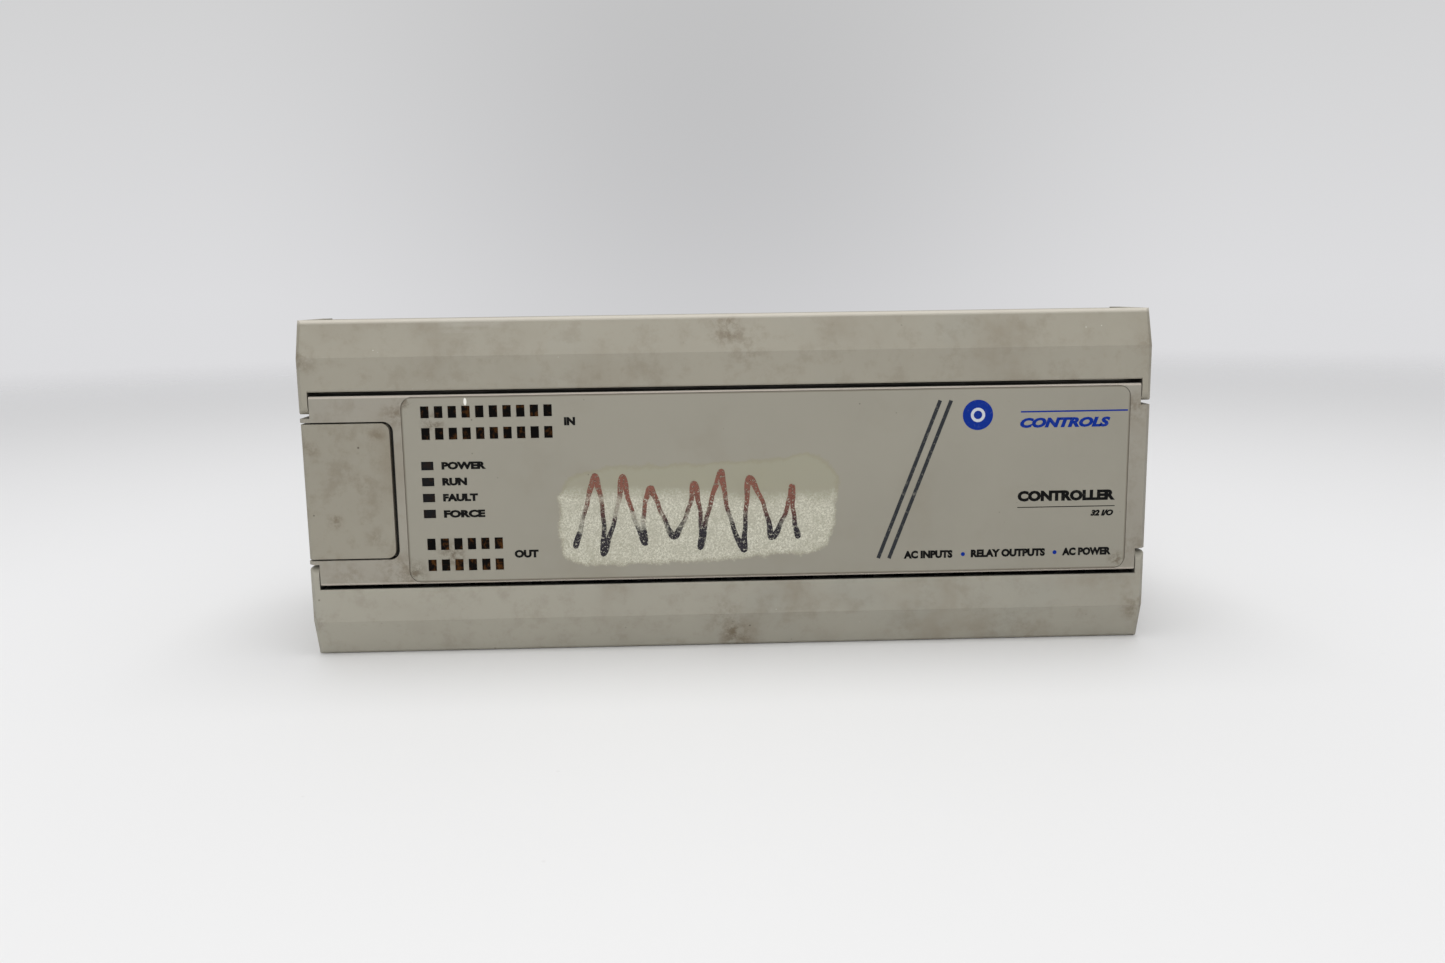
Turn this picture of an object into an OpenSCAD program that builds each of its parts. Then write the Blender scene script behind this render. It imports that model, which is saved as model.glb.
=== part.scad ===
// Compact programmable controller with 20 inputs and 12 relay outputs, for a 35 mm rail or a panel.
// X runs along the case, Y from front to back, Z up. The case stands on z = 0 and is centred on X and Y.

/* [Case] */
// Length of the case along X
body_w = 200; // [200:0.5:203]
// Depth from the front panel to the mounting plane
body_d = 73; // [73:0.5:75]
// Height of the case
body_h = 80; // [80:0.5:82]
// Wall thickness of the two housings
wall = 2.2; // [2:0.1:2.4]
// How far the housings lie below the top of the upper cover
top_step = 0.7; // [0.5:0.1:1]
// Fall of the rear housing's top from front to back, so that it leaves its mould
top_draft = 0.5; // [0:0.1:0.8]

/* [Front] */
// Height of the raised front panel between the terminal covers
panel_h = 45; // [44:0.5:45]
// Gap between the panel and each terminal cover
cover_gap = 1.0; // [0.9:0.05:1.2]
// Distance between the two creases where the covers start to slope back
crease_h = 62.8; // [60:0.2:66]
// How far the sloped band of a cover falls back
slope_d = 2.5; // [1:0.1:3]
// Height of the flush side pads between the cover ears
pad_h = 34.7; // [34:0.1:35]
// Chamfer of the front corners at both ends of the case
end_cut = 1.0; // [0.4:0.1:1.2]
// Thickness of the end plates of a terminal cover
ear_t = 2.25; // [2:0.05:2.4]
// Thickness of the front plate of a terminal cover
cover_t = 1.7; // [1.5:0.1:1.8]
// Depth of the terminal decks behind the front
deck_depth = 24.5; // [24:0.5:25]

/* [Indicators] */
// Spacing of the indicator columns
led_pitch = 3.175; // [3:0.025:3.2]
// Spacing of the two indicator rows in a bank
led_rows = 5.08; // [5:0.02:5.2]
// Number of input indicator columns
in_columns = 10; // [2:1:10]
// Number of output indicator columns
out_columns = 6; // [2:1:6]
// Number of status indicators
status_count = 4; // [1:1:4]
// Spacing of the status indicators
status_pitch = 3.81; // [3.6:0.01:3.9]

/* [Terminals] */
// Number of terminals in each row
terminal_count = 24; // [20:1:24]
// Spacing of the terminals
terminal_pitch = 7.62; // [7.5:0.01:7.62]

/* [Rail] */
// Height of the mounting rail
rail_h = 35; // [35:0.1:35.2]
// Height of the rail's lower edge above the bottom of the case
rail_z = 12; // [11.8:0.1:12]
// Depth of the rail channel in the back
rail_d = 7.5; // [7.5:0.1:7.7]
// Travel of the rail latch
latch_travel = 3; // [2.5:0.1:3]

/* [Hidden] */
$fn = 48;
slit = 0.05;                      // shadow between parts that only touch
over = 1;                         // how far a cutter runs past a face
half_w = body_w / 2;
front = -body_d / 2;
back = body_d / 2;
mid = body_h / 2;
case_top = body_h - top_step;     // top of the two housings
deck = front + deck_depth;        // front face of the terminal decks
split = deck + wall;              // where the front and rear housings meet

head_w = body_w - 5;              // width of the raised panel between the cover ears
head_lo = mid - panel_h / 2;
head_hi = mid + panel_h / 2;
head_cut = 0.4;                   // chamfer of the panel's long edges
cover_lo = head_hi + cover_gap;   // inner edge of the upper cover
cover_top = body_h;
cover_r = 1.2;                    // rounding of the cover's upper front edge
crease = mid + crease_h / 2;
lip_d = 9.5;                      // depth of the cover's top lip behind the slope
cover_back = deck - 0.3;
hinge_y = front + 2.2;
hinge_z = head_hi - 2;
hinge_r = 1.1;
running = 0.05;                   // radial clearance of a moulded hinge pin

// label and indicators, measured from the case's centre
label_x = [half_w * -0.763, half_w * 0.95];
label_h = 44;
label_r = 2.8;
label_t = 0.35;
recess_d = 0.4;
recess_y = front + recess_d;
led_x = -70.9;                    // centre of the first indicator column
in_z = mid + 13.38;               // lower row of the input bank
out_z = mid - 18.02;              // lower row of the output bank
status_z = mid - 5.6;             // lowest status indicator
led_size = [1.85, 2.7];
status_size = [2.75, 1.95];
bank_rim = 0.55;                  // light guide body around its windows

// communication port
door_x = [-half_w + 0.2, -79.3];
door_h = 32.1;
door_t = 1.8;
door_pivot = [-half_w + 1.05, front + 9.3];
door_pin_r = 0.7;
port = [-87.8, mid];
port_size = 12.6;

// boards, each given by its front face
board_t = 1.6;
logic_y = front + 13.9;
io_y = split + 3.2;
power_y = back - 16.1;
standoff_at = [[-80, 22], [80, 22], [-80, 58], [80, 58]];
mount_at = [[92, body_h - 7.5], [-92, 7.5]];
mount_r = 2.25;

// terminal row, drawn for the upper row
row_x = -half_w + 3.1;
row_w = terminal_count * terminal_pitch + 1.2;
row_z = [head_hi + 0.7, body_h - 4.4];
row_axis_z = row_z[0] + 7;
tag_y = deck - 4.8;
plate_y = deck - 8.4;
barrier_y = deck - 13.5;
barrier_t = 1.2;

rail_top = rail_z + rail_h;
channel = back - rail_d;
latch_w = 18;
latch_y = [channel + 1.4, channel + 4.4];
latch_top = rail_z + 2;
spring_r = 1.05;
spring_wire = 0.25;
spring_turns = 3;
spring_z = [rail_z - 5.6, rail_z - 0.2];

// ---- helpers ----

// A box between two opposite corners.
module block(lo, hi) {
    translate(lo) cube(hi - lo);
}

// A profile drawn as [y, z], carried along X from x0 to x1.
module along_x(x0, x1) {
    translate([x0, 0, 0]) rotate([90, 0, 90]) linear_extrude(x1 - x0) children();
}

// A shape drawn as [x, z], carried along Y from y0 to y1.
module along_y(y0, y1) {
    translate([0, y1, 0]) rotate([90, 0, 0]) linear_extrude(y1 - y0) children();
}

module rod_x(r, x0, x1, y, z) {
    translate([x0, y, z]) rotate([0, 90, 0]) cylinder(r = r, h = x1 - x0);
}

module rod_y(r, y0, y1, x, z) {
    translate([x, y1, z]) rotate([90, 0, 0]) cylinder(r = r, h = y1 - y0);
}

module rod_z(r, z0, z1, x, y) {
    translate([x, y, z0]) cylinder(r = r, h = z1 - z0);
}

// A rectangle with true round corners, between two opposite corners.
module rounded(lo, hi, r) {
    translate([lo[0] + r, lo[1]]) square([hi[0] - lo[0] - 2 * r, hi[1] - lo[1]]);
    translate([lo[0], lo[1] + r]) square([hi[0] - lo[0], hi[1] - lo[1] - 2 * r]);
    for (x = [lo[0] + r, hi[0] - r], z = [lo[1] + r, hi[1] - r]) translate([x, z]) circle(r);
}

// Cutters along the front corners at both ends, starting at [y, z] and leaning back by an angle.
module end_cutters(y, z, length, lean = 0) {
    side = end_cut * sqrt(2);
    for (x = [-half_w, half_w])
        translate([x, y, z]) rotate([-lean, 0, 0]) rotate([0, 0, 45])
            translate([-side / 2, -side / 2, 0]) cube([side, side, length]);
}

// The lower half is the upper half turned half a turn about the case's centre.
module lower_half() {
    translate([0, 0, mid]) rotate([0, 180, 0]) translate([0, 0, -mid]) children();
}

// ---- housings ----

// Outside of the rear housing: a box with the rail channel and its upper undercut.
module rear_outline() {
    undercut = channel + 1.4;
    polygon([
        [split, 0], [back, 0], [back, rail_z], [channel, rail_z],
        [channel, rail_top + 0.3], [undercut, rail_top + 0.3], [undercut, rail_top - 2],
        [back, rail_top - 2], [back, case_top - top_draft], [split, case_top]
    ]);
}

module rear_inside() {
    inner = back - wall;
    step = channel - wall;
    polygon([
        [split - over, wall], [inner, wall], [inner, rail_z - wall], [step, rail_z - wall],
        [step, rail_top + 0.3 + wall], [inner, rail_top + 0.3 + wall],
        [inner, case_top - top_draft - wall], [split - over, case_top - wall]
    ]);
}

vent_count = 21;
vent_pitch = 8;
vent_size = [2.4, 17];
vent_y = 3;

module vents() {
    for (i = [0:vent_count - 1], z = [-over, case_top - wall - top_draft - over])
        translate([(i - (vent_count - 1) / 2) * vent_pitch - vent_size[0] / 2, vent_y, z])
            cube([vent_size[0], vent_size[1], wall + top_draft + 2 * over]);
}

snap_x = [-60, 0, 60];

module snap_windows() {
    for (x = snap_x, z = [-over, case_top - wall - over])
        translate([x - 4.6, split + 3.2, z]) cube([9.2, 3.4, wall + 2 * over]);
}

// Solid guide around the rail latch, and the stop that its spring pushes against.
module latch_guide() {
    block([-latch_w / 2 - 5, channel - wall, 0], [latch_w / 2 + 5, back, rail_z]);
}

module latch_channel() {
    block([-latch_w / 2 - 0.2, latch_y[0] - 0.2, -over],
          [latch_w / 2 + 0.2, latch_y[1] + 0.2, rail_z + over]);
    block([-latch_w / 2 + 2, latch_y[1], -over], [latch_w / 2 - 2, back + over, rail_z + over]);
}

module latch_stop() {
    block([-1.5, latch_y[0] - 0.8, spring_z[0] - 1.3], [1.5, latch_y[1], spring_z[0]]);
}

// Opposite corners of the rating plate, as [y, z].
plate_lo = [split + 8, 51];
plate_hi = [split + 40, 71];

module rear_housing() {
    boss_r = 3;
    color([0.62, 0.61, 0.56]) difference() {
        union() {
            difference() {
                along_x(-half_w, half_w) rear_outline();
                along_x(-half_w + wall, half_w - wall) rear_inside();
                vents();
                snap_windows();
            }
            for (at = mount_at) rod_y(4.2, split, back, at[0], at[1]);
            for (at = standoff_at)
                rod_y(boss_r, power_y + board_t, at[1] < mid ? channel - 1 : back - 1, at[0], at[1]);
            latch_guide();
        }
        for (at = mount_at) rod_y(mount_r, split - over, back + over, at[0], at[1]);
        for (at = standoff_at) rod_y(1.35, power_y, power_y + board_t + 4, at[0], at[1]);
        latch_channel();
        block([half_w - 0.25, plate_lo[0] - 0.2, plate_lo[1] - 0.2],
              [half_w + over, plate_hi[0] + 0.2, plate_hi[1] + 0.2]);
    }
    color([0.62, 0.61, 0.56]) latch_stop();
}

// Pocket behind the door that leads a plug to the socket.
module port_pocket() {
    difference() {
        block([port[0] - 9, recess_y + 1, port[1] - 16.8],
              [port[0] + 8.8, logic_y - 2, port[1] + 16.8]);
        block([port[0] - 7.3, front, port[1] - 12.6], [port[0] + 7.3, logic_y - 3.4, port[1] + 12.6]);
        block([port[0] - port_size / 2 - 0.2, front, port[1] - port_size / 2 - 0.2],
              [port[0] + port_size / 2 + 0.2, logic_y, port[1] + port_size / 2 + 0.2]);
    }
}

// Seat of the door in the front face and round the left side.
module door_seat() {
    top = mid + door_h / 2 + 0.4;
    low = mid - door_h / 2 - 0.4;
    along_y(front - over, front + door_t + 0.2)
        rounded([-half_w - 5, low], [door_x[1] + 0.9, top], 2.4);
    block([-half_w - over, front - over, low], [-half_w + 2.1, door_pivot[1] + 1.3, top]);
}

module bank_opening(columns, z) {
    lo = [led_x - led_size[0] / 2 - bank_rim, z - led_size[1] / 2 - bank_rim];
    hi = [led_x + (columns - 1) * led_pitch + led_size[0] / 2 + bank_rim,
          z + led_rows + led_size[1] / 2 + 0.15];
    along_y(front - over, front + wall + over) translate(lo) square(hi - lo);
}

module status_opening() {
    lo = [led_x - status_size[0] / 2 - bank_rim, status_z - status_size[1] / 2 - bank_rim];
    hi = [led_x + status_size[0] / 2 + bank_rim,
          status_z + (status_count - 1) * status_pitch + status_size[1] / 2 + bank_rim];
    along_y(front - over, front + wall + over) translate(lo) square(hi - lo);
}

// Tongues that click into the windows of the rear housing.
module snap_tongues() {
    for (x = snap_x) {
        block([x - 5, split - slit, case_top - wall - 1.9], [x + 5, split + 7, case_top - wall - 0.3]);
        block([x - 4.2, split + 3.6, case_top - wall - 1.6], [x + 4.2, split + 6.2, case_top - 1.2]);
        block([x - 5, split - slit, wall + 0.3], [x + 5, split + 7, wall + 1.9]);
        block([x - 4.2, split + 3.6, 1.2], [x + 4.2, split + 6.2, wall + 1.6]);
    }
}

module front_shell() {
    c = head_cut;
    difference() {
        union() {
            block([-half_w, deck, 0], [half_w, split, case_top]);
            along_x(-head_w / 2, head_w / 2) polygon([
                [front, head_lo + c], [front + c, head_lo], [deck + slit, head_lo],
                [deck + slit, head_hi], [front + c, head_hi], [front, head_hi - c]
            ]);
            block([-half_w, front, mid - pad_h / 2], [half_w, deck + slit, mid + pad_h / 2]);
        }
        block([-head_w / 2 + wall, front + wall + 0.2, head_lo + wall],
              [head_w / 2 - wall, split + over, head_hi - wall]);
    }
}

module front_housing() {
    pin_slot = [row_z[0] + 1.6, row_z[0] + 3.2];
    color([0.66, 0.65, 0.60]) {
        difference() {
            union() {
                front_shell();
                port_pocket();
            }
            along_y(front - over, recess_y)
                rounded([label_x[0] - 0.1, mid - label_h / 2 - 0.1],
                        [label_x[1] + 0.1, mid + label_h / 2 + 0.1], label_r);
            bank_opening(in_columns, in_z);
            bank_opening(out_columns, out_z);
            status_opening();
            door_seat();
            block([port[0] - 7.3, front - over, port[1] - 12.6],
                  [port[0] + 7.3, logic_y - 3.4, port[1] + 12.6]);
            for (z = [hinge_z, body_h - hinge_z])
                rod_x(hinge_r + running, -half_w - over, half_w + over, hinge_y, z);
            rod_z(door_pin_r + running, mid - door_h / 2 - 1.5, mid + door_h / 2 + 1.5,
                  door_pivot[0], door_pivot[1]);
            block([row_x, deck - over, pin_slot[0]],
                  [row_x + row_w, split + over, pin_slot[1]]);
            lower_half() block([row_x, deck - over, pin_slot[0]],
                               [row_x + row_w, split + over, pin_slot[1]]);
            for (at = mount_at) rod_y(mount_r, deck - over, split + over, at[0], at[1]);
            end_cutters(front, mid - pad_h / 2 - over, pad_h + 2 * over);
        }
        snap_tongues();
    }
}

// ---- labels ----

module window(x, z, size) {
    translate([x - size[0] / 2, z - size[1] / 2]) square(size);
}

module bank_windows(columns, z, grow) {
    for (i = [0:columns - 1], row = [0, 1])
        window(led_x + i * led_pitch, z + row * led_rows, led_size + [grow, grow]);
}

module status_windows(grow) {
    for (i = [0:status_count - 1])
        window(led_x, status_z + i * status_pitch, status_size + [grow, grow]);
}

module front_label() {
    color([0.70, 0.69, 0.66]) along_y(recess_y - label_t, recess_y) difference() {
        rounded([label_x[0], mid - label_h / 2], [label_x[1], mid + label_h / 2], label_r);
        bank_windows(in_columns, in_z, 0.1);
        bank_windows(out_columns, out_z, 0.1);
        status_windows(0.1);
    }
}

// Rating plate, let into the right end of the rear housing.
module rating_label() {
    color([0.85, 0.85, 0.83]) block([half_w - 0.25, plate_lo[0], plate_lo[1]],
                                    [half_w - 0.05, plate_hi[0], plate_hi[1]]);
}

// ---- light guides and lamps ----

guide_end = logic_y - 1.6;

module guide_leg(x, z, size) {
    block([x - size[0] / 2 + 0.1, recess_y + 1.5, z - size[1] / 2 + 0.1],
          [x + size[0] / 2 - 0.1, guide_end, z + size[1] / 2 - 0.1]);
}

module bank_guide(columns, z) {
    lo = [led_x - led_size[0] / 2 - bank_rim + 0.1, z - led_size[1] / 2 - bank_rim + 0.1];
    hi = [led_x + (columns - 1) * led_pitch + led_size[0] / 2 + bank_rim - 0.1,
          z + led_rows + led_size[1] / 2 + 0.05];
    along_y(recess_y, recess_y + 1.8) translate(lo) square(hi - lo);
    along_y(recess_y - label_t + 0.05, recess_y + 0.1) bank_windows(columns, z, 0);
    for (i = [0:columns - 1], row = [0, 1])
        guide_leg(led_x + i * led_pitch, z + row * led_rows, led_size);
}

module input_light_guide() {
    color([0.20, 0.15, 0.10]) bank_guide(in_columns, in_z);
}

module output_light_guide() {
    color([0.20, 0.15, 0.10]) bank_guide(out_columns, out_z);
}

module status_light_guide() {
    lo = [led_x - status_size[0] / 2 - bank_rim + 0.1, status_z - status_size[1] / 2 - bank_rim + 0.1];
    hi = [led_x + status_size[0] / 2 + bank_rim - 0.1,
          status_z + (status_count - 1) * status_pitch + status_size[1] / 2 + bank_rim - 0.1];
    color([0.25, 0.25, 0.25]) {
        along_y(recess_y, recess_y + 1.8) translate(lo) square(hi - lo);
        along_y(recess_y - label_t + 0.05, recess_y + 0.1) status_windows(0);
        for (i = [0:status_count - 1]) guide_leg(led_x, status_z + i * status_pitch, status_size);
    }
}

// A surface-mounted lamp under one light guide leg.
module lamp(x, z) {
    block([x - 0.8, logic_y - 1.2, z - 1], [x + 0.8, logic_y, z + 1]);
}

module bank_lamps(columns, z) {
    for (i = [0:columns - 1], row = [0, 1]) lamp(led_x + i * led_pitch, z + row * led_rows);
}

module input_leds() {
    color([0.9, 0.55, 0.2]) bank_lamps(in_columns, in_z);
}

module output_leds() {
    color([0.9, 0.55, 0.2]) bank_lamps(out_columns, out_z);
}

module status_leds() {
    color([0.4, 0.8, 0.4])
        for (i = [0:status_count - 1]) lamp(led_x, status_z + i * status_pitch);
}

// ---- covers, door and latch ----

// Section of the cover's front plate, sloped band and top lip.
module cover_section() {
    t = cover_t;
    r = cover_r;
    slope_top = cover_top - r;
    slope_y = front + slope_d;
    corner = [for (a = [180:-15:90]) [slope_y + r + r * cos(a), slope_top + r * sin(a)]];
    polygon(concat(
        [[front + 0.3, cover_lo], [front, cover_lo + 0.3], [front, crease]],
        corner,
        [[slope_y + lip_d, cover_top], [slope_y + lip_d, cover_top - t],
         [slope_y + t + 0.4, cover_top - t], [slope_y + t, cover_top - t - 0.6],
         [front + t, crease - 0.2], [front + t, cover_lo]]
    ));
}

// End plate of a cover, with the round lug that carries its hinge pin.
module cover_end() {
    lug = hinge_y - front;
    slope_y = front + slope_d;
    polygon([
        [hinge_y, hinge_z - lug], [cover_back, hinge_z - lug], [cover_back, cover_top],
        [slope_y + cover_r, cover_top], [slope_y, cover_top - cover_r], [front, crease], [front, hinge_z]
    ]);
    translate([hinge_y, hinge_z]) circle(lug);
}

module cover_shell() {
    along_x(-half_w + slit, half_w - slit) cover_section();
    for (side = [0, 1]) mirror([side, 0, 0]) along_x(half_w - ear_t, half_w) cover_end();
}

module cover() {
    slope = cover_top - cover_r - crease;
    difference() {
        cover_shell();
        end_cutters(front, hinge_z - 3, crease - hinge_z + 3);
        end_cutters(front, crease, slope + 3, atan(slope_d / slope));
    }
    for (side = [0, 1]) mirror([side, 0, 0])
        rod_x(hinge_r, head_w / 2 - wall + 0.2, half_w - ear_t + slit, hinge_y, hinge_z);
    // stiffening ribs across the lip
    for (x = [-60, -20, 20, 60])
        block([x - 0.6, front + slope_d + 1.2, cover_top - cover_t - 1.5],
              [x + 0.6, front + slope_d + lip_d - 1, cover_top - cover_t + 0.1]);
}

module top_terminal_cover() {
    color([0.64, 0.63, 0.58]) cover();
}

module bottom_terminal_cover() {
    color([0.64, 0.63, 0.58]) lower_half() cover();
}

// Wiring legend stuck inside a cover.
module wiring_label() {
    block([-92, front + cover_t, cover_lo + 0.6], [92, front + cover_t + 0.15, crease - 0.8]);
}

module input_wiring_label() {
    color([0.9, 0.9, 0.88]) wiring_label();
}

module output_wiring_label() {
    color([0.9, 0.9, 0.88]) lower_half() wiring_label();
}

module comm_door() {
    lo = mid - door_h / 2;
    hi = mid + door_h / 2;
    px = door_pivot[0];
    py = door_pivot[1];
    color([0.65, 0.64, 0.59]) {
        difference() {
            union() {
                along_y(front, front + door_t) intersection() {
                    rounded([door_x[0] - 5, lo], [door_x[1], hi], 2);
                    translate([door_x[0], lo]) square([door_x[1] - door_x[0], door_h]);
                }
                block([px - 0.85, front + slit, lo], [px + 0.85, py, hi]);
            }
            end_cutters(front, lo - over, door_h + 2 * over);
        }
        rod_z(0.85, lo, hi, px, py);
        rod_z(door_pin_r, lo - 0.8, hi + 0.8, px, py);
    }
}

module din_latch() {
    color([0.16, 0.16, 0.17]) difference() {
        union() {
            block([-latch_w / 2, latch_y[0], 0.3], [latch_w / 2, latch_y[1], rail_z]);
            along_x(-latch_w / 2, latch_w / 2) polygon([
                [latch_y[0], rail_z - slit], [latch_y[1], rail_z - slit],
                [latch_y[1], rail_z + 0.4], [latch_y[0] + 0.8, latch_top], [latch_y[0], latch_top]
            ]);
        }
        block([-2.2, latch_y[0] - over, spring_z[0] - 1.5], [2.2, latch_y[1] + over, spring_z[1]]);
        block([-3.2, latch_y[0] - over, 1.3], [3.2, latch_y[1] + over, 3.4]);
    }
}

// A wire of round section carried along a list of points.
module sweep(path, r, sides) {
    last = len(path) - 1;
    rings = [for (i = [0:last])
        let (
            d = path[min(i + 1, last)] - path[max(i - 1, 0)],
            t = d / norm(d),
            u = cross(t, [0, 0, 1]) / norm(cross(t, [0, 0, 1])),
            v = cross(u, t)
        )
        for (k = [0:sides - 1])
            path[i] + r * (u * cos(360 * k / sides) + v * sin(360 * k / sides))];
    walls = [for (i = [0:last - 1], k = [0:sides - 1])
        let (a = i * sides + k, b = i * sides + (k + 1) % sides)
        each [[a, b, b + sides], [a, b + sides, a + sides]]];
    ends = [[for (k = [sides - 1:-1:0]) k], [for (k = [0:sides - 1]) last * sides + k]];
    polyhedron(points = rings, faces = concat(walls, ends));
}

module latch_spring() {
    steps = 14;
    n = spring_turns * steps;
    z0 = spring_z[0] + spring_wire + slit;
    z1 = spring_z[1] - spring_wire - slit;
    y = (latch_y[0] + latch_y[1]) / 2;
    color([0.7, 0.7, 0.72]) sweep([for (i = [0:n]) [
        spring_r * cos(360 * i / steps), y + spring_r * sin(360 * i / steps), z0 + (z1 - z0) * i / n
    ]], spring_wire, 8);
}

// ---- terminal row, drawn for the upper row ----

function terminal_x(i) = row_x + 0.6 + (i + 0.5) * terminal_pitch;

module terminal_base() {
    difference() {
        union() {
            block([row_x, deck - 4, row_z[0]], [row_x + row_w, deck, row_z[1]]);
            block([row_x, barrier_y, row_z[0]], [row_x + row_w, deck - 4 + slit, row_z[0] + 1.4]);
        }
        for (i = [0:terminal_count - 1]) {
            rod_y(1.6, deck - 4 - over, deck - 0.8, terminal_x(i), row_axis_z);
            block([terminal_x(i) - 0.6, deck - 4 - over, row_z[0] + 1.8],
                  [terminal_x(i) + 0.6, deck + over, row_z[0] + 3.0]);
        }
    }
}

module terminal_barriers() {
    for (i = [0:terminal_count]) {
        x = row_x + i * terminal_pitch;
        block([x, barrier_y, row_z[0] + 1.4], [x + barrier_t, deck - 4, row_z[1]]);
    }
}

module terminal_screws() {
    head_h = 2;
    for (i = [0:terminal_count - 1]) difference() {
        union() {
            rod_y(2.75, plate_y - head_h, plate_y, terminal_x(i), row_axis_z);
            rod_y(1.5, plate_y - slit, deck - 1, terminal_x(i), row_axis_z);
        }
        block([terminal_x(i) - 2, plate_y - head_h - over, row_axis_z - 0.35],
              [terminal_x(i) + 2, plate_y - head_h + 1, row_axis_z + 0.35]);
        block([terminal_x(i) - 0.35, plate_y - head_h - over, row_axis_z - 2],
              [terminal_x(i) + 0.35, plate_y - head_h + 1, row_axis_z + 2]);
    }
}

module clamp_plates() {
    for (i = [0:terminal_count - 1]) difference() {
        block([terminal_x(i) - 2.9, plate_y, row_axis_z - 3.7],
              [terminal_x(i) + 2.9, plate_y + 1, row_axis_z + 4]);
        rod_y(1.65, plate_y - over, plate_y + 2, terminal_x(i), row_axis_z);
    }
}

// Current-carrying tag under each clamp plate, with a leg down to the board.
module terminal_tags() {
    leg_z = row_z[0] + 2.4;
    for (i = [0:terminal_count - 1]) difference() {
        union() {
            block([terminal_x(i) - 2.9, tag_y, row_z[0] + 1.5],
                  [terminal_x(i) + 2.9, tag_y + 0.8, row_z[1] - 0.4]);
            block([terminal_x(i) - 0.5, tag_y + 0.7, leg_z - 0.4],
                  [terminal_x(i) + 0.5, io_y + board_t + 1, leg_z + 0.4]);
        }
        rod_y(1.5, tag_y - over, tag_y + 2, terminal_x(i), row_axis_z);
    }
}

module input_terminal_base() {
    color([0.14, 0.14, 0.15]) terminal_base();
}

module input_terminal_barriers() {
    color([0.14, 0.14, 0.15]) terminal_barriers();
}

module input_terminal_screws() {
    color([0.75, 0.74, 0.70]) terminal_screws();
}

module input_clamp_plates() {
    color([0.72, 0.72, 0.70]) clamp_plates();
}

module input_terminal_tags() {
    color([0.75, 0.70, 0.55]) terminal_tags();
}

module output_terminal_base() {
    color([0.14, 0.14, 0.15]) lower_half() terminal_base();
}

module output_terminal_barriers() {
    color([0.14, 0.14, 0.15]) lower_half() terminal_barriers();
}

module output_terminal_screws() {
    color([0.75, 0.74, 0.70]) lower_half() terminal_screws();
}

module output_clamp_plates() {
    color([0.72, 0.72, 0.70]) lower_half() clamp_plates();
}

module output_terminal_tags() {
    color([0.75, 0.70, 0.55]) lower_half() terminal_tags();
}

// ---- logic board, in the raised head ----

module logic_board() {
    color([0.05, 0.32, 0.16])
        block([-94.6, logic_y, head_lo + wall + 0.7], [94.6, logic_y + board_t, head_hi - wall - 0.7]);
}

module chip(x, z, w, h, t) {
    block([x - w / 2, logic_y - t, z - h / 2], [x + w / 2, logic_y, z + h / 2]);
}

module processor_chip() {
    color([0.08, 0.08, 0.09]) difference() {
        chip(10, mid, 24, 24, 4);
        rod_y(0.8, logic_y - 5, logic_y - 3.7, 1, mid + 9);
    }
}

module memory_chips() {
    color([0.08, 0.08, 0.09]) for (x = [38, 58]) difference() {
        chip(x, mid, 14, 30, 3.8);
        rod_y(1.2, logic_y - 5, logic_y - 3.4, x, mid + 15);
    }
}

module crystal() {
    color([0.75, 0.75, 0.77]) along_y(logic_y - 3.5, logic_y)
        rounded([-18, mid - 2.3], [-7, mid + 2.3], 2.2);
}

// Pin header that joins the logic board to the input and output board.
module board_header() {
    color([0.1, 0.1, 0.1])
        block([-25.4, logic_y + board_t, mid + 4], [25.4, io_y, mid + 9]);
}

module comm_socket_body() {
    s = port_size / 2;
    face = logic_y - 7.4;
    color([0.09, 0.09, 0.10]) difference() {
        block([port[0] - s, face, port[1] - s], [port[0] + s, logic_y, port[1] + s]);
        difference() {
            rod_y(4.95, face - over, face + 6, port[0], port[1]);
            rod_y(3.6, face - over, face + 7, port[0], port[1]);
        }
        for (a = socket_angles)
            rod_y(0.5, face - over, logic_y + over, port[0] + 2.35 * cos(a), port[1] + 2.35 * sin(a));
        block([port[0] - 0.9, face - over, port[1] - 1.6], [port[0] + 0.9, face + 4, port[1] + 0.4]);
    }
}

socket_angles = [-15, 15, 45, 80, 100, 135, 165, 195];

module comm_socket_shield() {
    face = logic_y - 7.4;
    color([0.75, 0.75, 0.77]) difference() {
        rod_y(4.95, face, face + 6, port[0], port[1]);
        rod_y(4.5, face - over, face + 7, port[0], port[1]);
    }
}

module comm_socket_contacts() {
    face = logic_y - 7.4;
    color([0.8, 0.65, 0.3]) for (a = socket_angles)
        rod_y(0.5, face + 3, logic_y, port[0] + 2.35 * cos(a), port[1] + 2.35 * sin(a));
}

// ---- input and output board, behind the decks ----

module io_board() {
    leg_z = row_z[0] + 2.4;
    color([0.05, 0.32, 0.16]) difference() {
        block([-93, io_y, 4.6], [93, io_y + board_t, case_top - 4.6]);
        for (i = [0:terminal_count - 1]) {
            x = terminal_x(i);
            block([x - 0.6, io_y - over, leg_z - 0.6], [x + 0.6, io_y + board_t + over, leg_z + 0.6]);
            block([-x - 0.6, io_y - over, body_h - leg_z - 0.6],
                  [-x + 0.6, io_y + board_t + over, body_h - leg_z + 0.6]);
        }
        for (at = mount_at) rod_y(5, io_y - over, io_y + board_t + over, at[0], at[1]);
        for (at = standoff_at) rod_y(1.6, io_y - over, io_y + board_t + over, at[0], at[1]);
    }
}

relay_pitch = 14;

module output_relays() {
    color([0.85, 0.85, 0.80]) for (i = [0:11])
        block([(i - 5.5) * relay_pitch - 5, io_y - 10, head_lo + 4.5 + 6],
              [(i - 5.5) * relay_pitch + 5, io_y, head_lo + 4.5 + 14]);
}

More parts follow.
